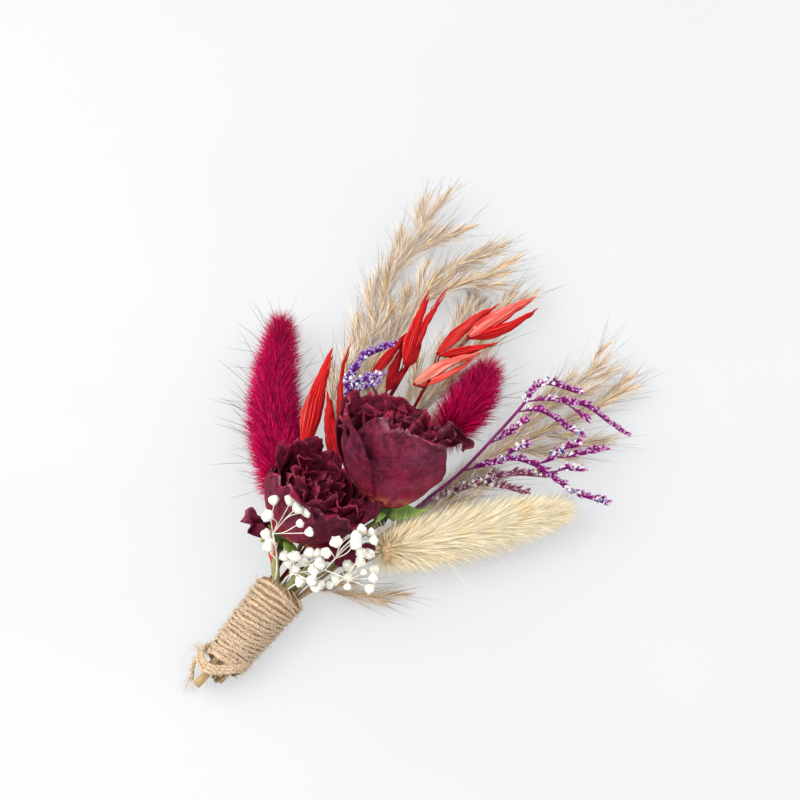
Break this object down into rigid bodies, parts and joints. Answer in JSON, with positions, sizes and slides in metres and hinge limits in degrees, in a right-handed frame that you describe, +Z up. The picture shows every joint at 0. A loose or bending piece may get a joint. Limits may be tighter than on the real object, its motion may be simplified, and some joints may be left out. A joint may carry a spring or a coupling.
{
  "type": "bunny tail grass boutonniere",
  "caption": "Dried-flower boutonniere with roses, bunny tail grass, reed plumes, oats, sea lavender and baby's breath, its stems bound with jute twine.",
  "frame": {"origin": "on the table under the twine handle", "axes": "+Y along the handle towards the flowers, +Z up from the table to the side that shows"},
  "size_m": [0.107, 0.1581, 0.0429],
  "materials": {
    "twine": "matt jute fibre",
    "rose_petals": "matt dried petal",
    "rose_stems": "matt dried stem and sepals",
    "magenta_tails": "soft dyed fur",
    "cream_tail": "soft natural fur",
    "reed": "dry silky plume",
    "oat": "dyed papery husk",
    "sea_lavender": "dyed papery floret",
    "babys_breath": "matt dried bud"
  },
  "bodies": {
    "root": {"twine_wrap": "twine", "rose_large_petals": "rose_petals", "rose_large_stem": "rose_stems", "rose_small_petals": "rose_petals", "rose_small_stem": "rose_stems", "bunny_tail_left": "magenta_tails", "bunny_tail_cream": "cream_tail", "bunny_tail_back": "magenta_tails", "reed_plume_left": "reed", "reed_plume_middle": "reed", "reed_plume_inner": "reed", "reed_plume_right": "reed", "oat_spray_left": "oat", "oat_spray_middle": "oat", "oat_spray_right": "oat", "sea_lavender_right": "sea_lavender", "sea_lavender_low": "sea_lavender", "sea_lavender_left": "sea_lavender", "babys_breath_left": "babys_breath", "babys_breath_middle": "babys_breath", "babys_breath_right": "babys_breath"}
  },
  "joints": []
}
